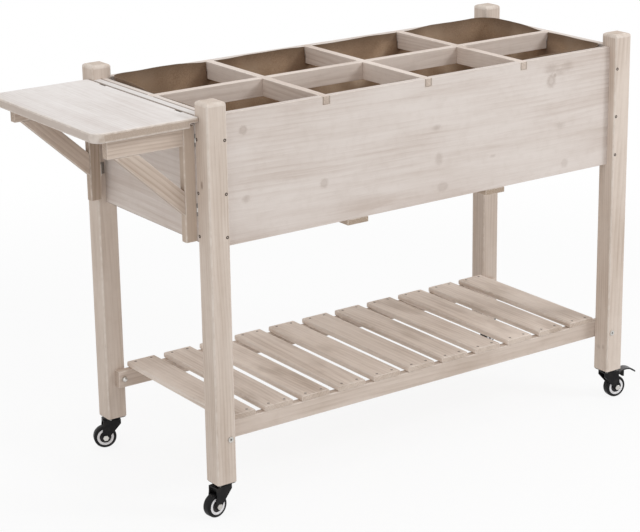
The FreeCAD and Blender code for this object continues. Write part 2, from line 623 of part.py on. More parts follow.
# Casters: a plate with a kingpin under each leg, a pressed fork that swivels on it, a tyred wheel, and
# on the right-hand pair a brake pedal. Each is drawn about its kingpin with the wheel trailing along +x
fork_top = -(s.top_plate_thick + s.race_height + s.swivel_gap)
crown_under = fork_top - s.crown_thick
slot_width = s.wheel_width + s.cheek_gap * 2
fork_width = slot_width + s.cheek_thick * 2
axle_drop = s.caster_height - s.wheel_radius
plates = []
for place, (x_face, x_sign, y_face, y_sign) in corners.items():
    name = "caster_" + place
    middle_x = inward(x_face, x_sign, s.leg_width / 2, s.leg_width)[0 if x_sign > 0 else 1]
    middle_y = inward(y_face, y_sign, s.leg_width / 2, s.leg_width)[0 if y_sign > 0 else 1]
    angle = caster_turns[place]
    swing = FreeCAD.Rotation(axis_vectors["Z"], angle)
    ahead = (math.cos(math.radians(angle)), math.sin(math.radians(angle)))
    hub_place = (middle_x + s.caster_trail * ahead[0], middle_y + s.caster_trail * ahead[1], leg_foot - axle_drop)
    on_axle = swing * rod_turns["Y"]

    half_side = s.top_plate_side / 2
    race_base = -(s.top_plate_thick + s.race_height)
    head_top = crown_under - s.swivel_gap
    plates.append(put(fuse(name + "_plate", [
        block(name + "_plate_top", (-half_side, half_side), (-half_side, half_side), (-s.top_plate_thick, zero)),
        prism(name + "_race", (race_base, -s.top_plate_thick), s.race_radius, knuckle_sides),
        rod(name + "_kingpin", "Z", zero, zero, (head_top - s.kingpin_head_thick, race_base), s.kingpin_radius),
        prism(name + "_kingpin_head", (head_top - s.kingpin_head_thick, head_top), s.kingpin_head_radius,
              head_sides),
    ]), middle_x, middle_y, leg_foot))

    fork = doc.addObject("PartDesign::Body", name + "_fork_pressing")
    skirt = fork_top - s.crown_skirt
    boss = [(s.caster_trail + s.boss_radius * math.cos(turn), -axle_drop - s.boss_radius * math.sin(turn))
            for turn in (math.tau * i / boss_sides for i in range(boss_sides // 2 + 1))]
    pad(fork, name + "_cheeks", outline(fork, name + "_cheek_outline", "XZ_Plane", [
        (-s.crown_front, fork_top), (s.crown_back, fork_top), (s.crown_back, skirt), *boss,
        (-s.crown_front, skirt)]), fork_width, "Symmetric")
    slot_low = -(axle_drop + s.boss_radius + s.cut_overrun)
    slot_ahead = s.caster_trail + s.boss_radius + s.cut_overrun
    slot_behind = -(s.crown_front + s.cut_overrun)
    pocket(fork, name + "_wheel_slot", outline(fork, name + "_slot_outline", "XZ_Plane", [
        (slot_behind, slot_low), (slot_ahead, slot_low), (slot_ahead, crown_under), (slot_behind, crown_under)]),
        slot_width, "Symmetric")
    pocket(fork, name + "_kingpin_hole", circle(fork, name + "_kingpin_ring", "XY_Plane", zero, zero,
                                                s.kingpin_radius + s.running_fit),
           s.crown_thick - fork_top + s.cut_overrun)
    pocket(fork, name + "_axle_hole", circle(fork, name + "_axle_ring", "XZ_Plane", s.caster_trail, -axle_drop,
                                             s.axle_radius + s.running_fit), fork_width + s.cut_overrun,
           "Symmetric")
    if place in braked:
        pad(fork, name + "_pedal_pin", circle(fork, name + "_pedal_ring", "XZ_Plane", s.pedal_pin_ahead,
                                              -s.pedal_pin_drop, s.pedal_pin_radius), fork_width, "Symmetric")
    node(put(fork, middle_x, middle_y, leg_foot, swing), name + "_fork")

    grip, end = fork_width / 2, fork_width / 2 + s.axle_head_thick
    node(put(fuse(name + "_axle_bolt", [
        rod(name + "_axle_shank", "Z", zero, zero, (-end, end), s.axle_radius),
        prism(name + "_axle_head", (-end, -grip), s.axle_head_radius, head_sides),
        prism(name + "_axle_nut", (grip, end), s.axle_head_radius, head_sides),
    ]), *hub_place, on_axle), name + "_axle")

    half_tyre, half_hub = s.wheel_width / 2, slot_width / 2 - s.hub_side_gap
    past = half_hub + s.cut_overrun
    node(put(cut(name + "_tyre_ring", rod(name + "_tread", "Z", zero, zero, (-half_tyre, half_tyre), s.wheel_radius), [
        prism(name + "_tyre_seat", (-past, past), s.hub_radius + s.running_fit, rim_sides)]), *hub_place, on_axle),
         name + "_tyre")
    node(put(cut(name + "_hub_wheel", prism(name + "_hub_rim", (-half_hub, half_hub), s.hub_radius, rim_sides), [
        rod(name + "_hub_bore", "Z", zero, zero, (-past, past), s.axle_radius + s.running_fit)]),
             *hub_place, on_axle), name + "_hub")

    if place in braked:
        half_pedal = slot_width / 2 - s.pedal_side_gap
        across = (-half_pedal, half_pedal)
        start = math.radians(s.arch_start.value)
        arch_turn = FreeCAD.Rotation(FreeCAD.Vector(math.cos(start), 0, math.sin(start)),
                                     FreeCAD.Vector(-math.sin(start), 0, math.cos(start)),
                                     FreeCAD.Vector(0, -1, 0), "XYZ")
        arch = rod(name + "_pedal_arch", "Z", zero, zero, (-half_pedal, half_pedal), s.arch_radius)
        arch.setExpression("Angle", s.arch_sweep.text)
        put(arch, s.arch_ahead, half_pedal, -s.arch_drop, arch_turn)
        under = rod(name + "_pedal_under", "Y", s.arch_ahead,
                    (-half_pedal - s.cut_overrun, half_pedal + s.cut_overrun), -s.arch_drop,
                    s.arch_radius - s.pedal_thick)
        eye_turn = rod_turns["Y"]
        eye = put(prism(name + "_pedal_eye", across, s.pedal_eye_radius, knuckle_sides), s.pedal_pin_ahead,
                  -half_pedal, -s.pedal_pin_drop, eye_turn)
        pedal = fuse(name + "_pedal_solid", [
            cut(name + "_pedal_bow", arch, [under]),
            eye,
            block(name + "_pedal_web", (s.pedal_pin_ahead, s.pedal_pin_ahead + s.web_reach), across,
                  (-(s.web_drop + s.web_thick), -s.web_drop)),
            block(name + "_pedal_shoe", (s.shoe_ahead, s.shoe_ahead + s.shoe_length), across,
                  (-s.shoe_drop, s.shoe_height - s.shoe_drop)),
        ])
        pedal_bore = rod(name + "_pedal_bore", "Y", s.pedal_pin_ahead,
                         (-half_pedal - s.cut_overrun, half_pedal + s.cut_overrun), -s.pedal_pin_drop,
                         s.pedal_pin_radius + s.running_fit)
        node(put(cut(name + "_pedal_bored", pedal, [pedal_bore]), middle_x, middle_y, leg_foot, swing),
             name + "_pedal")
node(gather("top_plates", plates), "caster_plates")

doc.recompute()
for item in doc.Objects:
    if "Invalid" in item.State or "Error" in item.State:
        raise RuntimeError("%s did not build: %s" % (item.Label, item.State))
for item in nodes:
    if item.Shape.isNull() or not item.Shape.isValid():
        raise RuntimeError("%s has no valid shape" % item.Label)
os.makedirs("parts", exist_ok=True)
for item in nodes:
    item.Shape.exportStep("parts/%s.step" % item.Label)
    box = item.Shape.BoundBox
    print("%-32s %3d solids  x %8.1f %8.1f  y %8.1f %8.1f  z %7.1f %7.1f" % (
        item.Label, len(item.Shape.Solids), box.XMin, box.XMax, box.YMin, box.YMax, box.ZMin, box.ZMax))
print(len(nodes), "nodes")
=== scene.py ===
import json
import math
import random
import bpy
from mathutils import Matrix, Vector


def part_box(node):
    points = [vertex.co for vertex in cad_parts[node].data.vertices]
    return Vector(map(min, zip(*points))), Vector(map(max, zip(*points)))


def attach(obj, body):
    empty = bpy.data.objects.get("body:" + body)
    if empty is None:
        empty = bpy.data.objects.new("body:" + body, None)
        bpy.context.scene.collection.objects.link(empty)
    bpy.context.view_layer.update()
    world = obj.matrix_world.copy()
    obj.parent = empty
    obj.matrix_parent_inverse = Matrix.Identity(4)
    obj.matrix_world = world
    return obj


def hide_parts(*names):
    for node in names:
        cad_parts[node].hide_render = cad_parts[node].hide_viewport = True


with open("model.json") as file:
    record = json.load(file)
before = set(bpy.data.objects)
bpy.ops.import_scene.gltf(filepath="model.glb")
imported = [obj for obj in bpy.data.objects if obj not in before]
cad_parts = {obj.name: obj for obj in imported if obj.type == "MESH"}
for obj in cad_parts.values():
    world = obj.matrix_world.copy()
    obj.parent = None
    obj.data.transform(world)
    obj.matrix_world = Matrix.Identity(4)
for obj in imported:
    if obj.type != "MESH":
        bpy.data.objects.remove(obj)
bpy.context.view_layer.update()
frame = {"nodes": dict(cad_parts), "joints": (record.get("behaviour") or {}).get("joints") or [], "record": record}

from fnmatch import fnmatch

import bpy
from mathutils import Matrix, Vector, noise

nodes = frame["nodes"]
joints = {joint["name"]: joint for joint in frame["joints"]}
members = frame["record"]["behaviour"]["bodies"]
bodyOf = {node: body for body, held in members.items() for node in held}
slotOf = {node: nodes[node].data.materials[0].name.split(".")[0] for node in nodes}


# picking and placing, as by hand

def clearPick():
    if bpy.context.object and bpy.context.object.mode != "OBJECT":
        bpy.ops.object.mode_set(mode="OBJECT")
    bpy.ops.object.select_all(action="DESELECT")


def enterEdit():
    bpy.ops.object.mode_set(mode="EDIT")


def leaveEdit():
    bpy.ops.object.mode_set(mode="OBJECT")


def take(piece):
    clearPick()
    piece.select_set(True)
    bpy.context.view_layer.objects.active = piece


def settle(piece):  # the place goes into the mesh
    take(piece)
    bpy.ops.object.transform_apply(location=True, rotation=True, scale=True)
    return piece


def applyAll(piece):
    take(piece)
    for modifier in list(piece.modifiers):
        bpy.ops.object.modifier_apply(modifier=modifier.name)
    return piece


def startPick(piece, kind):
    take(piece)
    enterEdit()
    bpy.ops.mesh.select_mode(type=kind)
    bpy.ops.mesh.select_all(action="DESELECT")
    leaveEdit()


def pickFaces(piece, test):
    startPick(piece, "FACE")
    for face in piece.data.polygons:
        face.select = bool(test(face.center, face.normal))
    enterEdit()


def pickEdges(piece, test):
    startPick(piece, "EDGE")
    points = piece.data.vertices
    for sideShade in piece.data.edges:
        sideShade.select = bool(test(*(points[i].co for i in sideShade.vertices)))
    enterEdit()


def smooth(piece, angle):
    take(piece)
    bpy.ops.object.shade_smooth_by_angle(angle=math.radians(angle))


def softenEdges(piece, width, corner):
    rounding = piece.modifiers.new("soften", "BEVEL")
    rounding.width, rounding.segments, rounding.limit_method = width, 2, "ANGLE"
    rounding.angle_limit = math.radians(corner)
    applyAll(piece)


def cylinder(sides, radius, depth, up=0.0, ends="NGON"):
    clearPick()
    bpy.ops.mesh.primitive_cylinder_add(vertices=sides, radius=radius, depth=depth, location=(0, 0, up),
                                        end_fill_type=ends)
    return settle(bpy.context.object)


def dress(piece, body, slot, *finishes):
    for finish in finishes:
        piece.data.materials.append(finish)
    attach(piece, body)
    return piece


# shader building

def tone(r, g, b):  # a colour as it looks on a screen, made linear
    return tuple(((c / 255 + 0.055) / 1.055) ** 2.4 for c in (r, g, b)) + (1.0,)


def feed(tree, socket, value):  # a link from another node, or a plain value
    if isinstance(value, bpy.types.NodeSocket):
        tree.links.new(value, socket)
    else:
        socket.default_value = value


def step(tree, kind, feeds=None, **traits):
    node = tree.nodes.new(kind)
    for key, value in traits.items():
        setattr(node, key, value)
    for key, value in (feeds or {}).items():
        feed(tree, node.inputs[key], value)
    return node


def maths(tree, how, *values):
    return step(tree, "ShaderNodeMath", dict(enumerate(values)), operation=how).outputs[0]


def times(tree, first, second):
    return maths(tree, "MULTIPLY", first, second)


def addTimes(tree, value, by, base):
    return maths(tree, "MULTIPLY_ADD", value, by, base)


def less(tree, first, second):
    return maths(tree, "SUBTRACT", first, second)


def most(tree, first, second):
    return maths(tree, "MAXIMUM", first, second)


def vectors(tree, how, *values):
    return step(tree, "ShaderNodeVectorMath", dict(enumerate(values)), operation=how).outputs[0]


def measure(tree, how, *values):  # a vector sum that gives one number
    return step(tree, "ShaderNodeVectorMath", dict(enumerate(values)), operation=how).outputs["Value"]


def parts(tree, vector):
    return step(tree, "ShaderNodeSeparateXYZ", {0: vector}).outputs


def stretch(tree, point, by):
    return vectors(tree, "MULTIPLY", point, by)


def speckle(tree, point, scale, detail=2.0, rough=0.5):
    if isinstance(scale, tuple):  # its own scale along and across the grain
        point, scale = stretch(tree, point, scale), 1.0
    feeds = {"Vector": point, "Scale": scale, "Detail": detail, "Roughness": rough}
    return step(tree, "ShaderNodeTexNoise", feeds).outputs["Fac"]


def ease(tree, value, low, high, first=0.0, last=1.0):
    feeds = {"Value": value, "From Min": low, "From Max": high, "To Min": first, "To Max": last}
    return step(tree, "ShaderNodeMapRange", feeds, interpolation_type="SMOOTHSTEP").outputs[0]


def mixTint(tree, share, first, second):
    return step(tree, "ShaderNodeMix", {0: share, 6: first, 7: second}, data_type="RGBA").outputs[2]


def stain(tree, base, mask, amount, colour):  # a colour laid over the base where the mask shows
    return mixTint(tree, times(tree, mask, amount), base, tone(*colour))


def newGroup(name, takes, gives):
    tree = bpy.data.node_groups.new(name, "ShaderNodeTree")
    for label, kind in takes:
        tree.interface.new_socket(label, in_out="INPUT", socket_type="NodeSocket" + kind)
    for label, kind in gives:
        tree.interface.new_socket(label, in_out="OUTPUT", socket_type="NodeSocket" + kind)
    start, end = tree.nodes.new("NodeGroupInput"), tree.nodes.new("NodeGroupOutput")
    return tree, start.outputs, end.inputs


def placed(tree, group, feeds):
    return step(tree, "ShaderNodeGroup", feeds, node_tree=group).outputs


def newFinish(name):
    finish = bpy.data.materials.new(name)
    finish.use_nodes = True
    tree = finish.node_tree
    return finish, tree, tree.nodes["Principled BSDF"], step(tree, "ShaderNodeTexCoord").outputs


def coat(tree, skin, feeds):
    for key, value in feeds.items():
        feed(tree, skin.inputs[key], value)


def bumped(tree, skin, height, strength, deep):
    bump = step(tree, "ShaderNodeBump", {"Height": height, "Strength": strength, "Distance": deep})
    tree.links.new(bump.outputs[0], skin.inputs["Normal"])


# limewashed fir: growth rings, fibres, streaks of wash and knots; the grain runs along x
# each stretch is how often a mark repeats along and across the grain
fir = {"wander": (1.3, 3.5, 3.5), "sway": (0.0, 0.03, 0.03), "slope": 0.018, "late": (0.30, 0.90, 1.0),
       "cell": (6.0, 9.0, 9.0), "knotReach": 0.16, "leastKnot": 0.0001, "core": 0.45, "halo": 3.4,
       "bulge": 0.11, "haloDepth": 0.42, "heart": (96, 74, 56), "heartShare": 0.62, "heartDepth": 0.62,
       "fibre": (14.0, 430.0, 430.0), "streak": (2.4, 62.0, 62.0), "patch": (3.0, 9.0, 9.0),
       "fibreDepth": 0.40, "streakDepth": 0.68, "patchDepth": 0.9, "startDepth": 0.30,
       "washPatch": (0.30, 0.72), "washHides": (0.25, 1.3),
       "stainShade": (5.0, 15.0, 15.0), "stainShadeEdge": (0.50, 0.70), "stainShadeTint": (150, 128, 108),
       "rough": 0.56, "fibreRough": 0.22,
       "streakHigh": 0.45, "lateHigh": -0.35, "fibreHigh": 0.35, "knotHigh": 0.4}


def buildGrain():
    takes = [("Point", "Vector"), ("Pale", "Color"), ("Deep", "Color"), ("Rings", "Float"),
             ("Ring Depth", "Float"), ("Knots", "Float"), ("Stains And Shadow", "Float")]
    gives = [("Tint", "Color"), ("Rough", "Float"), ("Height", "Float")]
    tree, given, out = newGroup("limewashedFir", takes, gives)
    point = given["Point"]
    wander = step(tree, "ShaderNodeTexNoise", {"Vector": stretch(tree, point, fir["wander"]),
                                               "Detail": 2.0, "Scale": 1.0}).outputs["Color"]
    wander = vectors(tree, "SUBTRACT", wander, (0.5, 0.5, 0.5))
    bent = vectors(tree, "ADD", stretch(tree, wander, fir["sway"]), point)
    # knots sit in some of the growth cells, each with a core and a wider halo
    cells = step(tree, "ShaderNodeTexVoronoi", {"Vector": stretch(tree, bent, fir["cell"]), "Scale": 1.0})
    lot = step(tree, "ShaderNodeSeparateColor", {0: cells.outputs["Color"]}).outputs[0]
    reach = step(tree, "ShaderNodeMapRange", {
        "Value": lot, "From Min": less(tree, 1.0, given["Knots"]), "From Max": 1.0,
        "To Min": 0.0, "To Max": fir["knotReach"]}).outputs[0]
    away = cells.outputs["Distance"]
    wide = maths(tree, "ADD", reach, fir["leastKnot"])
    core = less(tree, 1.0, ease(tree, away, times(tree, reach, fir["core"]), wide))
    halo = less(tree, 1.0, ease(tree, away, reach, times(tree, wide, fir["halo"])))
    # rings round the pith, pushed aside by the knots
    lie = parts(tree, bent)
    square = maths(tree, "ADD", maths(tree, "POWER", lie[1], 2.0), maths(tree, "POWER", lie[2], 2.0))
    across = addTimes(tree, lie[0], fir["slope"], maths(tree, "SQRT", square))
    across = addTimes(tree, times(tree, halo, reach), fir["bulge"], across)
    turn = maths(tree, "FRACT", times(tree, across, given["Rings"]))
    early, full, end = fir["late"]
    late = less(tree, ease(tree, turn, early, full), ease(tree, turn, full, end))
    fibre = speckle(tree, bent, fir["fibre"])
    streak = speckle(tree, bent, fir["streak"], 3.0)
    patch = speckle(tree, point, fir["patch"])
    worn = ease(tree, patch, *fir["washPatch"], *fir["washHides"])  # the wash hides the rings in places
    depth = times(tree, times(tree, late, given["Ring Depth"]), worn)
    for mark, amount in ((streak, "streakDepth"), (fibre, "fibreDepth"), (patch, "patchDepth")):
        depth = addTimes(tree, less(tree, mark, 0.5), fir[amount], depth)
    depth = ease(tree, maths(tree, "ADD", depth, fir["startDepth"]), 0.0, 1.0)
    tint = mixTint(tree, depth, given["Pale"], given["Deep"])
    tint = mixTint(tree, times(tree, halo, fir["haloDepth"]), tint, given["Deep"])
    # blots: real stains on every board; on the shelf, where they are strongest, they are mostly painted shadow
    # from the bed above
    stainShade = speckle(tree, point, fir["stainShade"], 3.0, 0.55)
    tint = stain(tree, tint, ease(tree, stainShade, *fir["stainShadeEdge"]), given["Stains And Shadow"], fir["stainShadeTint"])
    heart = mixTint(tree, fir["heartShare"], given["Deep"], tone(*fir["heart"]))
    tint = mixTint(tree, times(tree, core, fir["heartDepth"]), tint, heart)
    rough = addTimes(tree, fibre, fir["fibreRough"], fir["rough"])
    height = addTimes(tree, streak, fir["streakHigh"], times(tree, late, fir["lateHigh"]))
    height = addTimes(tree, fibre, fir["fibreHigh"], height)
    height = addTimes(tree, core, fir["knotHigh"], height)
    for label, value in (("Tint", tint), ("Rough", rough), ("Height", height)):
        tree.links.new(value, out[label])
    return tree


# dust that settles and the fine scratches of use
handling = {"dust": 55.0, "dustEdge": (0.42, 0.78),
            "scratch": (900.0, 120.0, 60.0), "scratchEdge": (0.6, 0.74)}


def buildHandling():
    takes = [("Point", "Vector"), ("Grit", "Float")]
    gives = [("Dust", "Float"), ("Scratch", "Float")]
    tree, given, out = newGroup("handlingMarks", takes, gives)
    coarse = speckle(tree, given["Point"], handling["dust"], 3.0, 0.6)
    fine = speckle(tree, given["Point"], given["Grit"])
    tree.links.new(times(tree, ease(tree, coarse, *handling["dustEdge"]), fine), out["Dust"])
    lines = speckle(tree, given["Point"], handling["scratch"], 1.0)
    tree.links.new(ease(tree, lines, *handling["scratchEdge"]), out["Scratch"])
    return tree


# one knot at a set place: a soft heart, or a ring round it
knotMark = {"ragged": 170.0, "raggedDepth": 0.9, "heart": (0.15, 1.15), "ringIn": (0.30, 0.85),
            "ringOut": (0.85, 1.6)}


def buildKnot():
    takes = [("Point", "Vector"), ("Centre", "Vector"), ("Spread", "Vector"), ("Ring", "Float")]
    tree, given, out = newGroup("knotMark", takes, [("Mask", "Float")])
    off = stretch(tree, vectors(tree, "SUBTRACT", given["Point"], given["Centre"]), given["Spread"])
    ragged = less(tree, speckle(tree, given["Point"], knotMark["ragged"]), 0.5)
    away = addTimes(tree, ragged, knotMark["raggedDepth"], measure(tree, "LENGTH", off))
    heart = less(tree, 1.0, ease(tree, away, *knotMark["heart"]))
    fade = less(tree, 1.0, ease(tree, away, *knotMark["ringOut"]))
    rim = times(tree, ease(tree, away, *knotMark["ringIn"]), fade)
    mask = step(tree, "ShaderNodeMix", {0: given["Ring"], 2: heart, 3: rim}, data_type="FLOAT").outputs[0]
    tree.links.new(mask, out["Mask"])
    return tree


grainGroup = buildGrain()
handlingGroup = buildHandling()
knotGroup = buildKnot()


# pale and deep tones of the wash by the board's job, and knots as a share of the growth cells
woodLooks = {
    "leg": {"pale": (217, 203, 191), "deep": (184, 165, 149), "rings": 190, "ringDepth": 0.20,
            "knots": 0.12, "stains": 0.08, "ends": 0.15},
    "panel": {"pale": (221, 211, 204), "deep": (193, 177, 166), "rings": 110, "ringDepth": 0.14,
              "knots": 0.30, "stains": 0.05, "ends": 0.4},
    "divider": {"pale": (230, 217, 207), "deep": (200, 182, 169), "rings": 150, "ringDepth": 0.18,
                "knots": 0.25, "stains": 0.12, "ends": 0.45},
    # the leaf's sides share is painted shade on its upright edges
    "leaf": {"pale": (231, 226, 223), "deep": (209, 200, 195), "rings": 140, "ringDepth": 0.12,
             "knots": 0.08, "stains": 0.05, "ends": 0.6, "sides": 0.55},
    # the shelf's large stain share is mostly painted shadow from the bed above
    "shelf": {"pale": (235, 221, 209), "deep": (192, 173, 158), "rings": 150, "ringDepth": 0.16,
              "knots": 0.24, "stains": 0.34, "ends": 0.4},
    "rail": {"pale": (220, 205, 193), "deep": (182, 163, 147), "rings": 160, "ringDepth": 0.18,
             "knots": 0.2, "stains": 0.22, "ends": 0.5},
    "bracket": {"pale": (216, 200, 186), "deep": (178, 158, 142), "rings": 160, "ringDepth": 0.22,
                "knots": 0.15, "stains": 0.15, "ends": 0.4},
    # painted shade: the uprights' tones are darkened to how they look in the shadow of the leaf above
    "upright": {"pale": (196, 178, 162), "deep": (156, 136, 119), "rings": 170, "ringDepth": 0.26,
                "knots": 0.1, "stains": 0.1, "ends": 0.3},
    "under": {"pale": (204, 187, 170), "deep": (160, 139, 120), "rings": 150, "ringDepth": 0.35,
              "knots": 0.4, "stains": 0.2, "ends": 0.8},
}

# knots at set places on the front: middle, half sizes (1 for right through), ring share, strength
setKnots = {
    "panel_front": [
        ((0.4260, 0, 0.7750), (0.0100, 1, 0.0120), 0.60, 0.48),
        ((0.4360, 0, 0.7870), (0.0060, 1, 0.0060), 0.0, 0.36),
        ((0.4250, 0, 0.8020), (0.0180, 1, 0.0110), 0.25, 0.40),
        ((0.4500, 0, 0.7920), (0.0120, 1, 0.0080), 0.2, 0.32),
        ((0.4720, 0, 0.8020), (0.0150, 1, 0.0110), 0.25, 0.36),
        ((0.1120, 0, 0.7205), (0.0110, 1, 0.0065), 0.2, 0.38),
        ((0.1180, 0, 0.6520), (0.0085, 1, 0.0115), 0.35, 0.40),
        ((0.1280, 0, 0.5900), (0.0120, 1, 0.0090), 0.45, 0.38),
        ((0.4690, 0, 0.5860), (0.0085, 1, 0.0085), 0.4, 0.34),
        ((-0.1760, 0, 0.6500), (0.0085, 1, 0.0085), 0.45, 0.46),
        ((-0.3660, 0, 0.7890), (0.0078, 1, 0.0072), 0.5, 0.52),
        ((-0.3640, 0, 0.6500), (0.0110, 1, 0.0100), 0.0, 0.30),
        ((0.4540, 0, 0.6730), (0.0170, 1, 0.0090), 0.0, 0.24),
        ((0.2640, 0, 0.6350), (0.0100, 1, 0.0050), 0.0, 0.22)],
    "leg_front_left": [((-0.4602, -0.2183, 0.693), (0.004, 0.0046, 0.0095), 0.1, 0.90)],
    "leg_front_right": [((0.5950, -0.2300, 0.130), (0.004, 0.0045, 0.0060), 0.2, 0.42),
                        ((0.5950, -0.2150, 0.127), (0.004, 0.0050, 0.0060), 0.2, 0.38)],
}

# how the wash takes on ends, arrises and joints, and the painted shade on the upright edges of a top
wash = {"pithAlong": 3, "pithOff": (0.05, 0.11), "lift": (0.955, 1.035), "knot": (142, 121, 106),
        "sawn": (0.80, 0.95), "pores": (60.0, 520.0, 520.0), "poreEdge": (0.35, 0.68),
        "endDark": (138, 117, 98), "endPale": (186, 168, 150),
        # side is the painted shade colour for the upright edges of a top
        "side": (172, 150, 130), "sideShadeTurn": (0.75, 0.35),
        "slot": (112, 95, 80), "slotDepth": 0.8, "slotSide": (0.0034, 0.0012), "slotFoot": (0.0155, 0.0172),
        "rubbed": (232, 222, 212), "rubPatch": 70.0, "rubEdge": (0.30, 0.65), "rubDepth": (0.15, 0.55),
        "met": (124, 106, 92), "metDepth": 0.62,
        "dust": (160, 138, 118), "dustDepth": 0.16, "grit": 420.0,
        "gloss": 0.28, "bump": 0.35, "bumpDeep": 0.0006}


def woodFor(node, look, along):
    chance = random.Random(node)
    given = woodLooks[look]
    low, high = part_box(node)
    along = Vector(along).normalized()
    turned = along.rotation_difference(Vector((1, 0, 0)))
    middle = turned @ ((low + high) / 2)
    pith = Vector((chance.uniform(-wash["pithAlong"], wash["pithAlong"]),
                   chance.choice((-1, 1)) * chance.uniform(*wash["pithOff"]),
                   chance.choice((-1, 1)) * chance.uniform(*wash["pithOff"])))
    finish, tree, skin, coord = newFinish(f"{node}_limewash")
    lay = step(tree, "ShaderNodeMapping", {"Vector": coord["Object"], "Location": pith - middle,
                                           "Rotation": turned.to_euler()}).outputs[0]
    lift = chance.uniform(*wash["lift"])
    pale = tuple(c * lift for c in tone(*given["pale"])[:3]) + (1.0,)
    deep = tuple(c * lift for c in tone(*given["deep"])[:3]) + (1.0,)
    grain = placed(tree, grainGroup, {
        "Point": lay, "Pale": pale, "Deep": deep, "Rings": given["rings"], "Ring Depth": given["ringDepth"],
        "Stains And Shadow": given["stains"], "Knots": 0.0 if node in setKnots else given["knots"]})
    tint = grain["Tint"]
    for centre, half, ring, strength in setKnots.get(node, []):
        spread = tuple(1 / h if h < 1 else 0.0 for h in half)
        mark = placed(tree, knotGroup, {"Point": coord["Object"], "Centre": centre, "Ring": ring,
                                        "Spread": spread})["Mask"]
        tint = stain(tree, tint, mark, strength, wash["knot"])
    # sawn ends drink the wash and stay darker
    facing = measure(tree, "DOT_PRODUCT", coord["Normal"], along)
    sawn = ease(tree, maths(tree, "ABSOLUTE", facing), *wash["sawn"])
    pores = ease(tree, speckle(tree, lay, wash["pores"]), *wash["poreEdge"])
    endTint = mixTint(tree, pores, tone(*wash["endDark"]), tone(*wash["endPale"]))
    tint = mixTint(tree, times(tree, sawn, given["ends"]), tint, endTint)
    if "sides" in given:  # painted shade: the upright edges of a top are darkened as if out of the light
        level = maths(tree, "ABSOLUTE", parts(tree, coord["Normal"])[2])
        sideShade = ease(tree, level, *wash["sideShadeTurn"], 0.0, given["sides"])
        tint = mixTint(tree, sideShade, tint, tone(*wash["side"]))
    if look == "divider":  # a dark joint line round the end that shows in its slot
        across = 1 if along.x > 0.5 else 0
        wide = (high - low)[across] / 2
        lie = parts(tree, coord["Object"])
        off = maths(tree, "ABSOLUTE", less(tree, lie[across], (low + high)[across] / 2))
        joint = most(tree, ease(tree, off, *(wide - near for near in wash["slotSide"])),
                     ease(tree, lie[2], *(high.z - down for down in wash["slotFoot"])))
        tint = stain(tree, tint, times(tree, joint, sawn), wash["slotDepth"], wash["slot"])
    # rubbed arrises are pale where positive, and joints with a neighbour dark where negative
    rubbed = step(tree, "ShaderNodeAttribute", attribute_name="rubbed").outputs["Fac"]
    patchy = ease(tree, speckle(tree, lay, wash["rubPatch"]), *wash["rubEdge"], *wash["rubDepth"])
    tint = mixTint(tree, times(tree, most(tree, rubbed, 0.0), patchy), tint, tone(*wash["rubbed"]))
    met = most(tree, times(tree, rubbed, -1.0), 0.0)
    tint = stain(tree, tint, met, wash["metDepth"], wash["met"])
    marks = placed(tree, handlingGroup, {"Point": lay, "Grit": wash["grit"]})
    tint = stain(tree, tint, marks["Dust"], wash["dustDepth"], wash["dust"])
    coat(tree, skin, {"Base Color": tint, "Roughness": grain["Rough"], "Specular IOR Level": wash["gloss"]})
    bumped(tree, skin, grain["Height"], wash["bump"], wash["bumpDeep"])
    return finish


# plated, lacquered and moulded parts share one way of wearing, and each says where it departs from it
wear = {"grit": 300.0, "scratch": 0.35, "topDepth": 0.75, "topTurn": (0.6, 0.95), "dust": (150, 140, 128),
        "dustDepth": 0.35, "dustRough": 0.3, "shine": 0.0, "gloss": 0.5, "bump": 0.12, "bumpDeep": 0.0002}


def hardFinish(name, **given):
    look = {**wear, **given}
    finish, tree, skin, coord = newFinish(name)
    marks = placed(tree, handlingGroup, {"Point": coord["Object"], "Grit": look["grit"]})
    tint = tone(*look["tint"])
    if "worn" in look:
        tint = stain(tree, tint, marks["Scratch"], look["scratch"], look["worn"])
    if "top" in look:  # the face that is trodden on
        up = ease(tree, parts(tree, coord["Normal"])[2], *look["topTurn"])
        tint = stain(tree, tint, up, look["topDepth"], look["top"])
    tint = stain(tree, tint, marks["Dust"], look["dustDepth"], look["dust"])
    rough = addTimes(tree, marks["Dust"], look["dustRough"], look["rough"])
    coat(tree, skin, {"Base Color": tint, "Roughness": rough, "Metallic": look["shine"],
                      "Specular IOR Level": look["gloss"]})
    height = speckle(tree, coord["Object"], look["grain"]) if "grain" in look else marks["Scratch"]
    bumped(tree, skin, height, look["bump"], look["bumpDeep"])
    return finish


zinc = hardFinish("brightZinc", tint=(206, 203, 198), worn=(232, 230, 226), rough=0.30, shine=1.0)
# painted reflection: a near-white, less metallic zinc on the brackets' hinges stands in for their bright
# reflection
glintWhiteZinc = hardFinish("glintWhiteZinc", tint=(238, 236, 232), worn=(250, 249, 246), rough=0.36, shine=0.35)
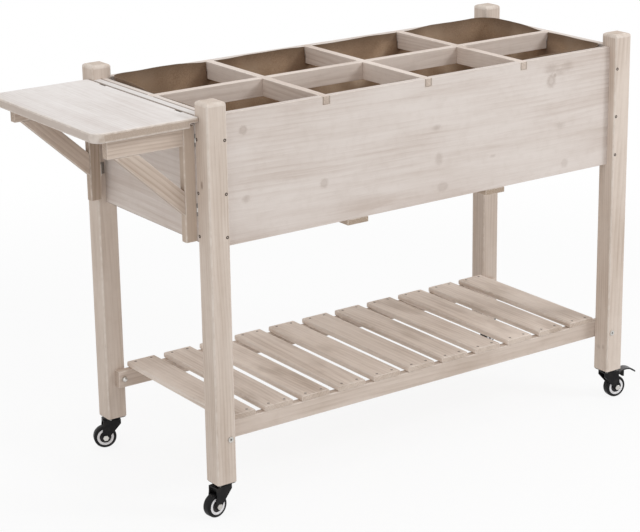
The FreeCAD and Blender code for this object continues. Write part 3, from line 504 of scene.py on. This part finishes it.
# painted shade: a darkened zinc for the hinges, so the leaf hinges look shadowed in their gaps
shadedHingeZinc = hardFinish("shadeDarkenedZinc", tint=(150, 146, 140), worn=(196, 192, 186), rough=0.36, shine=1.0)
blackLacquer = hardFinish("blackLacquer", tint=(15, 14, 16), worn=(44, 42, 44), rough=0.30, gloss=0.18,
                          dustDepth=0.10)
darkScrew = hardFinish("darkScrew", tint=(66, 54, 45), worn=(104, 92, 82), rough=0.48, shine=0.55,
                       dustDepth=0.2)
hubWhite = hardFinish("hubRing", tint=(240, 238, 239), worn=(214, 210, 210), rough=0.32, grit=500.0,
                      dustDepth=0.15)
hubDark = hardFinish("hubDish", tint=(52, 48, 50), worn=(92, 86, 86), rough=0.42, gloss=0.25)
tyreBlack = hardFinish("blackTyre", tint=(13, 12, 14), rough=0.42, gloss=0.2, grit=600.0, dust=(80, 75, 72),
                       dustDepth=0.25, dustRough=0.35, grain=1500.0, bump=0.2)
pedalGrey = hardFinish("pedalTop", tint=(16, 15, 17), top=(110, 108, 110), rough=0.38, gloss=0.25, grit=500.0,
                       dust=(150, 142, 134), dustDepth=0.3, bump=0.15)

felt = {"hairs": (900.0, 900.0, 520.0), "hairEdge": (0.30, 0.72),
        "dark": (140, 113, 90), "pale": (178, 152, 126),
        # press patches: uneven felt, with painted light and shade
        "pressAndShading": 9.0, "litPalePatch": (184, 162, 140), "palePatch": (0.45, 0.70), "paleDepth": 0.55,
        "shadedDarkPatch": (112, 89, 71), "darkPatch": (0.48, 0.28), "darkDepth": 0.45,
        # painted shade near the wall and a painted highlight off it, by the fold share
        "valleyShade": (100, 79, 62), "valleyShadeFold": (0.30, 0.0), "valleyShadeDepth": 0.42,
        "ridgeHighlight": (190, 168, 146), "ridgeHighlightFold": (0.35, 0.95), "ridgeHighlightDepth": 0.50,
        "hem": (82, 64, 50), "hemDepth": 0.5,
        "rough": 0.95, "gloss": 0.12, "sheen": 0.12, "bump": 0.45, "bumpDeep": 0.0008}


def feltCloth():
    finish, tree, skin, coord = newFinish("brownFelt")
    hairs = speckle(tree, coord["Object"], felt["hairs"], 4.0, 0.65)
    pressAndShading = speckle(tree, coord["Object"], felt["pressAndShading"], 3.0)
    tint = mixTint(tree, ease(tree, hairs, *felt["hairEdge"]), tone(*felt["dark"]), tone(*felt["pale"]))
    # pale and dark patches: uneven pressing of the felt, and painted light and shade on it
    tint = stain(tree, tint, ease(tree, pressAndShading, *felt["palePatch"]), felt["paleDepth"], felt["litPalePatch"])
    tint = stain(tree, tint, ease(tree, pressAndShading, *felt["darkPatch"]), felt["darkDepth"], felt["shadedDarkPatch"])
    # the fold is how far the cloth stands off its wall: painted shade where the cloth lies in against the wall, a
    # painted highlight where it stands off
    fold = step(tree, "ShaderNodeAttribute", attribute_name="fold").outputs["Fac"]
    near = ease(tree, fold, *felt["valleyShadeFold"], 0.0, felt["valleyShadeDepth"])
    tint = mixTint(tree, near, tint, tone(*felt["valleyShade"]))
    off = ease(tree, fold, *felt["ridgeHighlightFold"], 0.0, felt["ridgeHighlightDepth"])
    tint = mixTint(tree, off, tint, tone(*felt["ridgeHighlight"]))
    hem = step(tree, "ShaderNodeAttribute", attribute_name="hem").outputs["Fac"]
    tint = stain(tree, tint, hem, felt["hemDepth"], felt["hem"])
    coat(tree, skin, {"Base Color": tint, "Roughness": felt["rough"], "Specular IOR Level": felt["gloss"],
                      "Sheen Weight": felt["sheen"]})
    bumped(tree, skin, hairs, felt["bump"], felt["bumpDeep"])
    return finish


brownFelt = feltCloth()
print("finishes made")


# every board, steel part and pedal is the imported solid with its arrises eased
easing = {"board": 0.0012, "jointed": 0.0020, "steel": 0.0006, "plastic": 0.0009, "fine": 0.0004,
          "rub": 0.0042, "met": 0.0032, "metRun": 0.05,
          "weld": 0.00001, "level": 1.5, "corner": 32, "round": 50}
topBoards = ("table_leaf", "hinge_strip", "panel_left")  # side by side, with a joint line between
topJoints = (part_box("hinge_strip")[0].x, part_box("hinge_strip")[1].x)


def markRubbed(piece, node):  # narrow faces are rubbed arrises, or joint lines beside a neighbour
    mesh = piece.data
    rubbed = mesh.attributes.new("rubbed", "FLOAT", "FACE")
    for face in mesh.polygons:
        points = [mesh.vertices[i].co for i in face.vertices]
        longest = max((a - b).length for a, b in zip(points, points[1:] + points[:1]))
        narrow = face.area < longest * easing["rub"]
        met = node in topBoards and any(abs(face.center.x - x) < easing["met"] for x in topJoints)
        mark = -1.0 if met and longest > easing["metRun"] else 1.0
        rubbed.data[face.index].value = mark if narrow else 0.0


def eased(node, width, *finishes):
    piece = bpy.data.objects.new(f"{node}_eased", nodes[node].data.copy())
    bpy.context.scene.collection.objects.link(piece)
    piece.data.materials.clear()
    take(piece)
    bpy.ops.mesh.customdata_custom_splitnormals_clear()
    enterEdit()
    bpy.ops.mesh.select_mode(type="VERT")
    bpy.ops.mesh.select_all(action="SELECT")
    bpy.ops.mesh.remove_doubles(threshold=easing["weld"])
    bpy.ops.mesh.dissolve_limited(angle_limit=math.radians(easing["level"]))
    leaveEdit()
    softenEdges(piece, width, easing["corner"])
    markRubbed(piece, node)
    smooth(piece, easing["round"])
    flat = piece.modifiers.new("flat", "WEIGHTED_NORMAL")
    flat.keep_sharp = True
    applyAll(piece)
    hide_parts(node)
    return dress(piece, bodyOf[node], slotOf[node], *finishes)


# the look of each board and the way its grain runs; the first name that fits counts
alongX, alongY, upZ, downBrace = (1, 0, 0), (0, 1, 0), (0, 0, 1), (0.736, 0.0, -0.677)
boardJobs = (
    ("leg_*", "leg", upZ), ("panel_front", "panel", alongX), ("panel_back", "panel", alongX),
    ("panel_*", "panel", alongY), ("divider_long", "divider", alongX), ("divider_cross*", "divider", alongY),
    ("shelf_slat*", "shelf", alongY), ("shelf_rail*", "rail", alongX), ("table_leaf", "leaf", alongY),
    ("hinge_strip", "leaf", alongY), ("*_upright", "upright", upZ), ("*_arm", "bracket", alongX),
    ("*_brace", "bracket", downBrace), ("floor_battens", "under", alongY), ("*", "under", alongX))
woodNodes = [node for node in nodes if slotOf[node] == "wood"]
for node in woodNodes:
    look, along = next((look, along) for name, look, along in boardJobs if fnmatch(node, name))
    width = easing["jointed" if node in topBoards else "board"]
    eased(node, width, woodFor(node, look, along))
print("boards eased:", len(woodNodes))


# hardware: black pressed forks, pedals, axles and hinges, then tyres with round shoulders and dished hubs
for node in nodes:
    if node.endswith("_fork") or node == "caster_plates":
        eased(node, easing["steel"], blackLacquer)
    elif node.endswith("_pedal"):
        eased(node, easing["plastic"], pedalGrey)
    elif node.endswith("_axle"):
        eased(node, easing["fine"], zinc)
    elif slotOf[node] == "hinge_steel":
        # the brackets' hinges get the painted-reflection zinc, the others the painted-shade zinc
        eased(node, easing["fine"], glintWhiteZinc if node.startswith("bracket") else shadedHingeZinc)

wheel = {"radius": 0.025, "width": 0.019, "seat": 0.0187, "sides": 72, "shoulder": 0.0042, "tread": 0.001,
         "hubSides": 48, "hubGap": 0.0001, "hubIn": 0.0008, "ring": 0.0056, "ringEdge": 0.0002,
         "dish": 0.0034, "dishTaper": 0.94, "boss": 0.0072, "bossOut": 0.0030, "bossTaper": 0.9,
         "soften": 0.0005, "softenFrom": 30, "shoulderSteps": 5, "tyreRound": 50, "hubRound": 40}
touch = 1e-4  # points this near are at the same place
squareOn = 0.9  # a face whose normal reaches this looks straight along the axis


def layOnAxle(piece, joint):
    axle = Vector(joint["axis"]).normalized()
    turned = Vector((0, 0, 1)).rotation_difference(axle)
    piece.matrix_world = Matrix.Translation(joint["pos_m"]) @ turned.to_matrix().to_4x4()
    return settle(piece)


def tyreShape(name):
    piece = cylinder(wheel["sides"], wheel["radius"], wheel["width"], ends="NOTHING")
    piece.name = piece.data.name = name
    wall = piece.modifiers.new("wall", "SOLIDIFY")
    wall.thickness, wall.offset = wheel["radius"] - wheel["seat"], -1
    applyAll(piece)
    half, outer = wheel["width"] / 2, wheel["radius"] - wheel["tread"]
    pickEdges(piece, lambda a, b: abs(a.z - b.z) < touch and abs(a.z) > half - touch
              and math.hypot(a.x, a.y) > outer and math.hypot(b.x, b.y) > outer)
    bpy.ops.mesh.bevel(offset=wheel["shoulder"], segments=wheel["shoulderSteps"], affect="EDGES")
    leaveEdit()
    smooth(piece, wheel["tyreRound"])
    return piece


def hubShape(name):
    piece = cylinder(wheel["hubSides"], wheel["seat"] - wheel["hubGap"], wheel["width"] - wheel["hubIn"])
    piece.name = piece.data.name = name
    inner = wheel["seat"] - wheel["ring"]
    dishTaper, bossTaper = wheel["dishTaper"], wheel["bossTaper"]
    for side in (1, -1):
        pickFaces(piece, lambda centre, normal: normal.z * side > squareOn and centre.xy.length < touch)
        bpy.ops.mesh.inset(thickness=wheel["ring"])
        bpy.ops.mesh.extrude_region_move(TRANSFORM_OT_translate={"value": (0, 0, -side * wheel["dish"])})
        bpy.ops.transform.resize(value=(dishTaper, dishTaper, 1))
        bpy.ops.mesh.inset(thickness=inner * dishTaper - wheel["boss"])
        bpy.ops.mesh.extrude_region_move(TRANSFORM_OT_translate={"value": (0, 0, side * wheel["bossOut"])})
        bpy.ops.transform.resize(value=(bossTaper, bossTaper, 1))
        leaveEdit()
    softenEdges(piece, wheel["soften"], wheel["softenFrom"])
    smooth(piece, wheel["hubRound"])
    piece.data.materials.append(hubWhite)
    piece.data.materials.append(hubDark)
    for face in piece.data.polygons:
        face.material_index = 1 if math.hypot(face.center.x, face.center.y) < inner - wheel["ringEdge"] else 0
    return piece


corners = ("front_left", "front_right", "back_left", "back_right")
for corner in corners:
    spin = joints[f"caster_{corner}_wheel_spin"]
    tyre = layOnAxle(tyreShape(f"tyre_{corner}"), spin)
    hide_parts(f"caster_{corner}_tyre")
    dress(tyre, f"caster_{corner}_wheel", "wheel_tyre", tyreBlack)
    hub = layOnAxle(hubShape(f"hub_{corner}"), spin)
    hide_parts(f"caster_{corner}_hub")
    dress(hub, f"caster_{corner}_wheel", "wheel_hub")
print("casters made")


# screws and bolts: one of each shaped, then copied over its board
screw = {"radius": 0.0034, "depth": 0.0016, "proud": 0.00015, "drive": 0.0021, "driveDeep": 0.0008}
smallScrew = {"radius": 0.0027, "depth": 0.0016, "proud": 0.0001, "drive": 0.0017, "driveDeep": 0.0006}
tinyScrew = {"radius": 0.0022, "depth": 0.0011, "proud": 0.0002, "drive": 0.0013, "driveDeep": 0.0005}
panScrew = {"radius": 0.0034, "depth": 0.0022, "proud": 0.0014, "drive": 0.0020, "driveDeep": 0.0009}
bolt = {"radius": 0.0062, "depth": 0.003, "proud": 0.0016, "drive": 0.0028, "driveDeep": 0.0016, "sides": 20}
capNut = {"radius": 0.0066, "depth": 0.0045, "sides": 6, "soften": 0.0007, "softenFrom": 30,
          "dome": 0.8, "domeUp": 0.72, "domeCut": 0.6, "domeSides": 20, "domeRings": 10}
headRim, crossWaist, crossCatch = 0.1, 0.34, 1.01  # shares of a head's radius and of its drive
headSides, headRound = 16, 40


def screwShape(size):
    up = size["proud"] - size["depth"] / 2
    piece = cylinder(size.get("sides", headSides), size["radius"], size["depth"], up)
    pickFaces(piece, lambda centre, normal: normal.z > squareOn)
    bpy.ops.mesh.inset(thickness=size["radius"] * headRim)
    bpy.ops.mesh.inset(thickness=size["radius"] * (1 - headRim) - size["drive"])
    bpy.ops.mesh.extrude_region_move(TRANSFORM_OT_translate={"value": (0, 0, -size["driveDeep"])})
    leaveEdit()
    # the drive is a cross: the points between its arms go in
    for point in piece.data.vertices:
        if math.hypot(point.co.x, point.co.y) < size["drive"] * crossCatch:
            arm = abs(math.cos(2 * math.atan2(point.co.y, point.co.x))) ** 2
            point.co.x *= crossWaist + (1 - crossWaist) * arm
            point.co.y *= crossWaist + (1 - crossWaist) * arm
    return piece


def nutShape(size):
    piece = cylinder(size["sides"], size["radius"], size["depth"], size["depth"] / 2)
    softenEdges(piece, size["soften"], size["softenFrom"])
    clearPick()
    bpy.ops.mesh.primitive_uv_sphere_add(segments=size["domeSides"], ring_count=size["domeRings"],
                                         radius=size["radius"] * size["dome"],
                                         location=(0, 0, size["depth"] * size["domeUp"]))
    dome = settle(bpy.context.object)
    pickFaces(dome, lambda centre, normal: centre.z < size["depth"] * size["domeCut"])
    bpy.ops.mesh.delete(type="FACE")
    leaveEdit()
    take(piece)
    dome.select_set(True)
    bpy.ops.object.join()
    return piece


def sow(model, spots, name, finish, body="frame", slot="hinge_steel"):
    copies = []
    for place, out in spots:
        take(model)
        bpy.ops.object.duplicate(linked=False)
        copy = bpy.context.object
        turned = Vector((0, 0, 1)).rotation_difference(Vector(out).normalized())
        twist = Matrix.Rotation(random.Random(str(place)).uniform(0, math.pi), 4, "Z")
        copy.matrix_world = Matrix.Translation(place) @ turned.to_matrix().to_4x4() @ twist
        copies.append(settle(copy))
    clearPick()
    for copy in copies:
        copy.select_set(True)
    bpy.context.view_layer.objects.active = copies[0]
    bpy.ops.object.join()
    piece = bpy.context.object
    piece.name = piece.data.name = name
    smooth(piece, headRound)
    return dress(piece, body, slot, finish)


low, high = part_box("leg_front_left")
left, front, footZ = low.x, low.y, low.z
low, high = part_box("leg_back_right")
right, back = high.x, high.y
railLow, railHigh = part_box("shelf_rail_front")
woodScrew, slatScrew = screwShape(screw), screwShape(smallScrew)
hingeScrew, plateScrew = screwShape(tinyScrew), screwShape(panScrew)
railBolt, railNut = screwShape(bolt), nutShape(capNut)

# through each outer leg face into the panels' ends
legFix = {"in": 0.039, "rows": (0.709, 0.602, 0.515)}
spots = []
for up in legFix["rows"]:
    for x, y in ((left + legFix["in"], front), (right - legFix["in"], front)):
        spots.append(((x, y, footZ + up), (0, -1, 0)))
        spots.append(((x, back, footZ + up), (0, 1, 0)))
    for y in (front + legFix["in"], back - legFix["in"]):
        spots.append(((left, y, footZ + up), (-1, 0, 0)))
        spots.append(((right, y, footZ + up), (1, 0, 0)))
sow(woodScrew, spots, "leg_screws", darkScrew)

# down through the slats into the rails
slatFix = {"near": 0.22, "far": 0.78}
spots = []
near, far = slatFix["near"], slatFix["far"]
railY = (railLow.y + railHigh.y) / 2
for node in sorted(name for name in nodes if name.startswith("shelf_slat")):
    low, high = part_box(node)
    for x in (low.x * far + high.x * near, low.x * near + high.x * far):
        for y in (railY, -railY):
            spots.append(((x, y, high.z), (0, 0, 1)))
sow(slatScrew, spots, "slat_screws", darkScrew)

# in both halves of the brackets' hinges
hingeFix = {"plate": 0.0012, "in": 0.0098, "apart": 0.0068, "shares": (0.27, 0.87)}
spots = []
for label, sign in (("front", 1), ("back", -1)):
    low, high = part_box(f"bracket_{label}_upright")
    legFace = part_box(f"leg_{label}_left")[1 if sign > 0 else 0].y
    pivot = Vector(joints[f"bracket_{label}_swing"]["pos_m"])
    moving = []
    for share in hingeFix["shares"]:
        for off in (-hingeFix["apart"], hingeFix["apart"]):
            z = low.z + share * (high.z - low.z) + off
            spots.append(((pivot.x + hingeFix["in"], legFace + sign * hingeFix["plate"], z), (0, sign, 0)))
            moving.append(((high.x + hingeFix["plate"], pivot.y + sign * hingeFix["in"], z), (1, 0, 0)))
    sow(hingeScrew, moving, f"bracket_{label}_screws", glintWhiteZinc, f"bracket_{label}")
sow(hingeScrew, spots, "fixed_hinge_screws", shadedHingeZinc)

# up through the battens into the floor boards
battenFix = {"wide": 0.052, "boards": 4, "end": 0.015, "offX": 0.014, "offY": 0.02}
spots = []
low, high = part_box("floor_battens")
for middle in (low.x + battenFix["wide"] / 2, high.x - battenFix["wide"] / 2):
    for i in range(battenFix["boards"]):
        run = high.y - low.y - 2 * battenFix["end"]
        y = low.y + battenFix["end"] + run * (i + 0.5) / battenFix["boards"]
        for side in (-1, 1):
            place = (middle + side * battenFix["offX"], y + side * battenFix["offY"], low.z)
            spots.append((place, (0, 0, -1)))
sow(woodScrew, spots, "batten_screws", darkScrew)

# up through the caster plates into the legs
plateFix = {"thick": 0.0025, "in": 0.0150}
spots = []
for corner in corners:
    x, y, z = joints[f"caster_{corner}_swivel_turn"]["pos_m"]
    for dx in (-plateFix["in"], plateFix["in"]):
        for dy in (-plateFix["in"], plateFix["in"]):
            spots.append(((x + dx, y + dy, footZ - plateFix["thick"]), (0, 0, -1)))
sow(plateScrew, spots, "caster_plate_screws", zinc, slot="caster_steel")

# bolts through the legs and rails, with cap nuts inside
boltFix = {"in": 0.0325, "up": 0.094}
heads, nuts = [], []
boltZ = footZ + boltFix["up"]
for x in (left + boltFix["in"], right - boltFix["in"]):
    heads += [((x, front, boltZ), (0, -1, 0)), ((x, back, boltZ), (0, 1, 0))]
    nuts += [((x, railHigh.y, boltZ), (0, 1, 0)), ((x, -railHigh.y, boltZ), (0, -1, 0))]
sow(railBolt, heads, "rail_bolts", zinc)
sow(railNut, nuts, "rail_nuts", zinc)
for model in (woodScrew, slatScrew, hingeScrew, plateScrew, railBolt, railNut):
    bpy.data.objects.remove(model)
print("screws and bolts set")


# the liner: one felt cloth folded into the bed, tucked under the dividers
liner = {"gap": 0.00115, "corner": 0.045, "cornerSteps": 8, "leastCorner": 0.0005,
         "toe": 0.016, "toeSteps": 4, "bottom": 0.5752, "bottomSteps": 16, "bottomHole": 0.004,
         "swell": 0.0022, "swellSteps": 4, "rim": 0.8272, "tuck": 0.8062, "sideBand": 0.02,
         "rows": 20, "longPoints": 90, "shortPoints": 33, "slit": (0.0100, 0.0112), "slitRoom": 0.005,
         "thick": 0.0013, "flat": (0.89, 1.53), "cut": 1.13, "hem": (1.0, 0.55, 0.15), "round": 60,
         "lifts": {"back": (0.005, 0.002, 0.001, 0.006), "front": (0.0, 0.0, 0.0, 0.002)}}
# folds: depths in metres, places as shares of the wall's height; a crease has a slope, a width and a depth
folding = {"slack": 0.0085, "full": 0.014, "flatFold": 0.32, "fold": 0.95, "ripple": 0.22, "tucked": 0.8,
           "tuckFrom": (0.25, 0.6), "belly": 0.25, "bellyRun": 1.1, "uneven": (0.75, 0.9), "wave": 0.0030,
           "creases": ((1.05, 0.020, 0.0090), (0.38, 0.012, 0.0050)), "creaseIn": 0.012,
           "creaseHead": (0.03, 0.2), "creaseFoot": (0.75, 1.0), "freeRim": (0.0101, 0.0111),
           "freeWall": (0.012, 0.075), "freeLift": (0.012, 0.09), "freeWave": (0.010, 0.05)}
# noises in the cloth: scales along x, y and z, and where each starts in z
ruffles = {"fold": (13, 13, 3.5, 0), "ripple": (40, 40, 8, 7), "uneven": (5.3, 4.1, 0, 1.7),
           "wave": (9, 9, 0, 3.1), "swell": (11, 11, 0, 0.4)}
wallX = (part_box("panel_left")[1].x + liner["gap"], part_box("panel_right")[0].x - liner["gap"])
wallY = (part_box("panel_front")[1].y + liner["gap"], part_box("panel_back")[0].y - liner["gap"])
crossX = [sum(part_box(f"divider_cross_{i}")[k].x for k in (0, 1)) / 2 for i in (1, 2, 3)]
halfX, halfY = (wallX[1] - wallX[0]) / 2, (wallY[1] - wallY[0]) / 2
midX, midY = (wallX[0] + wallX[1]) / 2, (wallY[0] + wallY[1]) / 2


# where the cloth's rows of points stand along each side: even, and close beside the dividers
def sideShares(straight, even, dividers):
    near, far = liner["slit"]
    close = [d + off for d in dividers for off in (-far, -near, 0.0, near, far)]
    spread = [-straight + 2 * straight * i / (even - 1) for i in range(even)]
    spread = [s for s in spread if all(abs(s - c) > liner["slitRoom"] for c in close)]
    return [s / straight for s in sorted(spread + close)]


longShares = sideShares(halfX - liner["corner"], liner["longPoints"], [x - midX for x in crossX])
shortShares = sideShares(halfY - liner["corner"], liner["shortPoints"], [0.0])


def clothRing(inset):  # points round the bed and the way inward at each
    radius = max(liner["corner"] - inset, liner["leastCorner"])
    points = []
    for turn in range(4):
        angle = turn * math.pi / 2
        out = Vector((math.cos(angle), math.sin(angle)))
        side = Vector((-math.sin(angle), math.cos(angle)))
        reach, half = (halfX, halfY) if turn % 2 == 0 else (halfY, halfX)
        reach, half = reach - inset, half - inset
        for share in (shortShares if turn % 2 == 0 else longShares):
            points.append((out * reach + side * share * (half - radius), -out))
        for i in range(1, liner["cornerSteps"]):
            bend = i / liner["cornerSteps"] * math.pi / 2
            way = out * math.cos(bend) + side * math.sin(bend)
            points.append((out * (reach - radius) + side * (half - radius) + way * radius, -way))
    return [(Vector((midX + p.x, midY + p.y)), n) for p, n in points]


def softStep(value, low, high):
    t = min(max((value - low) / (high - low), 0.0), 1.0)
    return t * t * (3 - 2 * t)


def ruffle(kind, point, z=0.0):
    byX, byY, byZ, start = ruffles[kind]
    return noise.noise(Vector((point.x * byX, point.y * byY, z * byZ + start)))


def clothEdge(point):
    # slit beside each divider end: the rim stands free, the tongue between is over tucked cloth
    onLong = min(abs(point.y - wallY[0]), abs(point.y - wallY[1])) < liner["sideBand"]
    away = min(abs(point.x - x) for x in crossX) if onLong else abs(point.y)
    cell = sum(point.x > x for x in crossX)
    lift = liner["lifts"]["back" if point.y > 0 else "front"][cell] * softStep(away, *folding["freeLift"])
    wave = folding["wave"] * ruffle("wave", point) * softStep(away, *folding["freeWave"])
    rise = liner["rim"] + lift + wave
    top = liner["tuck"] + (rise - liner["tuck"]) * softStep(away, *folding["freeRim"])
    return top, softStep(away, *folding["freeWall"]), away


def clothPush(point, z, share, free, away):  # how far the cloth stands off its wall
    folds = 0.5 + 0.5 * ruffle("fold", point, z)
    ripple = 0.5 + 0.5 * ruffle("ripple", point, z)
    least, swing = folding["uneven"]
    uneven = least + swing * ruffle("uneven", point)
    bulge = math.sin(math.pi * min(share * folding["bellyRun"], 1.0))
    belly = folding["belly"] + (1 - folding["belly"]) * bulge
    push = folding["slack"] * free * (folding["fold"] * folds * belly + folding["ripple"] * ripple)
    push += folding["slack"] * folding["tucked"] * (1 - free) * softStep(share, *folding["tuckFrom"]) * folds
    fade = softStep(share, *folding["creaseHead"]) * (1 - softStep(share, *folding["creaseFoot"]))
    for slope, width, deep in folding["creases"]:  # creases fan down from where the cloth is tucked
        off = (away - folding["creaseIn"] - slope * (liner["rim"] - z)) / width
        push += deep * uneven * math.exp(-off * off) * fade
    return push


def clothRings():
    rings, stands = [], []
    bottom, toe = liner["bottom"], liner["toe"]
    for row in range(liner["rows"] + 1):
        share = row / liner["rows"]
        ring = []
        for point, inward in clothRing(0.0):
            top, free, away = clothEdge(point)
            z = top + (bottom + toe - top) * share
            push = clothPush(point, z, share, free, away)
            ring.append((point.x + inward.x * push, point.y + inward.y * push, z))
            stands.append(push / folding["full"])
        rings.append(ring)
    for i in range(1, liner["toeSteps"] + 1):  # the turn at the foot of the wall
        bend = i / liner["toeSteps"] * math.pi / 2
        inset, lift = toe * (1 - math.cos(bend)), toe * (1 - math.sin(bend))
        rings.append([(p.x, p.y, bottom + lift) for p, n in clothRing(inset)])
    for i in range(1, liner["bottomSteps"] + 1):
        inset = toe + (halfY - liner["bottomHole"] - toe) * i / liner["bottomSteps"]
        ring = []
        for p, n in clothRing(inset):
            swell = liner["swell"] * max(ruffle("swell", p), 0.0)
            ring.append((p.x, p.y, bottom + swell * min(i / liner["swellSteps"], 1.0)))
        rings.append(ring)
    return rings, stands


def makeLiner():
    rings, stands = clothRings()
    count = len(rings[0])
    verts = [v for ring in rings for v in ring]
    faces = []
    for r in range(len(rings) - 1):
        for i in range(count):
            j = (i + 1) % count
            faces.append((r * count + i, (r + 1) * count + i, (r + 1) * count + j, r * count + j))
    faces.append(tuple((len(rings) - 1) * count + i for i in range(count)))
    mesh = bpy.data.meshes.new("liner_felt")
    mesh.from_pydata(verts, [], faces)
    piece = bpy.data.objects.new("liner_felt", mesh)
    bpy.context.scene.collection.objects.link(piece)
    take(piece)
    enterEdit()
    bpy.ops.mesh.select_all(action="SELECT")
    bpy.ops.mesh.normals_make_consistent(inside=True)
    leaveEdit()
    hem = mesh.attributes.new("hem", "FLOAT", "POINT")  # the cut rim, for the finish
    for i in range(count * len(liner["hem"])):
        hem.data[i].value = liner["hem"][i // count]
    # the fold share also sets the felt's painted shade and highlight
    fold = mesh.attributes.new("fold", "FLOAT", "POINT")
    for i in range(len(verts)):
        fold.data[i].value = stands[i] if i < len(stands) else folding["flatFold"]
    cloth = piece.modifiers.new("cloth", "SOLIDIFY")
    cloth.thickness, cloth.offset = liner["thick"], 0
    applyAll(piece)
    smooth(piece, liner["round"])
    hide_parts("liner")
    dress(piece, "frame", "liner_cloth", brownFelt)


makeLiner()
print("liner folded in")


# studio: pale floor, white beyond it, soft lamps
studio = {"floor": 16.0, "floorTint": (0.86, 0.86, 0.86, 1), "floorShow": 0.88,
          "nearFade": 1.3, "farFade": 2.4, "white": (1, 1, 1, 1), "ambient": 0.70}
lamps = {
    "key_lamp": {"place": (2.5, -2.9, 2.9), "aim": (0.1, 0, 0.5), "power": 57.0, "size": 1.2,
                 "tint": (0.94, 0.97, 1.0)},
    "fill_lamp": {"place": (-3.4, -1.6, 2.6), "aim": (0.0, 0, 0.5), "power": 19.0, "size": 2.4,
                  "tint": (1, 1, 1)},
    "top_lamp": {"place": (0.0, 0.2, 3.6), "aim": (0.0, 0, 0.5), "power": 14.0, "size": 2.4,
                 "tint": (1, 1, 1)},
}


def seenAsBacking(tree):  # rays that show the floor or the white beyond, and don't light the part
    path = step(tree, "ShaderNodeLightPath").outputs
    through = most(tree, path["Is Glossy Ray"], path["Is Transmission Ray"])
    return most(tree, path["Is Camera Ray"], through)


def makeFloor():
    clearPick()
    bpy.ops.mesh.primitive_plane_add(size=studio["floor"] * 2, location=(0, 0, 0))
    ground = bpy.context.object
    ground.name = "studio_floor"
    finish, tree, skin, coord = newFinish("paleFloor")
    tree.nodes.remove(skin)
    matt = step(tree, "ShaderNodeBsdfDiffuse", {"Color": studio["floorTint"]}).outputs[0]
    white = step(tree, "ShaderNodeEmission", {"Color": studio["white"], "Strength": 1.0}).outputs[0]
    far = measure(tree, "LENGTH", coord["Object"])
    show = ease(tree, far, studio["nearFade"], studio["farFade"], studio["floorShow"], 1.0)
    share = times(tree, seenAsBacking(tree), show)
    mix = step(tree, "ShaderNodeMixShader", {0: share, 1: matt, 2: white}).outputs[0]
    tree.links.new(mix, tree.nodes["Material Output"].inputs["Surface"])
    ground.data.materials.append(finish)


def makeWorld():
    world = bpy.data.worlds.new("studio")
    bpy.context.scene.world = world
    world.use_nodes = True
    tree = world.node_tree
    backing = tree.nodes["Background"]
    strength = ease(tree, seenAsBacking(tree), 0.0, 1.0, studio["ambient"], 1.0)
    coat(tree, backing, {"Color": studio["white"], "Strength": strength})


def makeLamp(name, lamp):
    clearPick()
    bpy.ops.object.light_add(type="AREA", location=lamp["place"])
    light = bpy.context.object
    light.name = name
    light.data.energy, light.data.size, light.data.color = lamp["power"], lamp["size"], lamp["tint"]
    light.rotation_euler = (Vector(lamp["aim"]) - Vector(lamp["place"])).to_track_quat("-Z", "Y").to_euler()


makeFloor()
makeWorld()
for name, lamp in lamps.items():
    makeLamp(name, lamp)

view = {"place": (-2.3984, -3.3781, 1.7115), "yaw": 35.02, "pitch": 16.84, "roll": -0.88, "lens": 112.2,
        "sensor": 36.0, "drop": -0.05, "far": 100.0}
clearPick()
bpy.ops.object.camera_add()
camera = bpy.context.object
camera.data.lens, camera.data.sensor_width = view["lens"], view["sensor"]
camera.data.shift_y = view["drop"]
camera.data.clip_end = view["far"]
camera.matrix_world = (Matrix.Translation(view["place"])
                       @ Matrix.Rotation(math.radians(-view["yaw"]), 4, "Z")
                       @ Matrix.Rotation(math.radians(90 - view["pitch"]), 4, "X")
                       @ Matrix.Rotation(math.radians(view["roll"]), 4, "Z"))
bpy.context.scene.camera = camera
bpy.context.scene.view_settings.view_transform = "Standard"
print("studio and camera set")
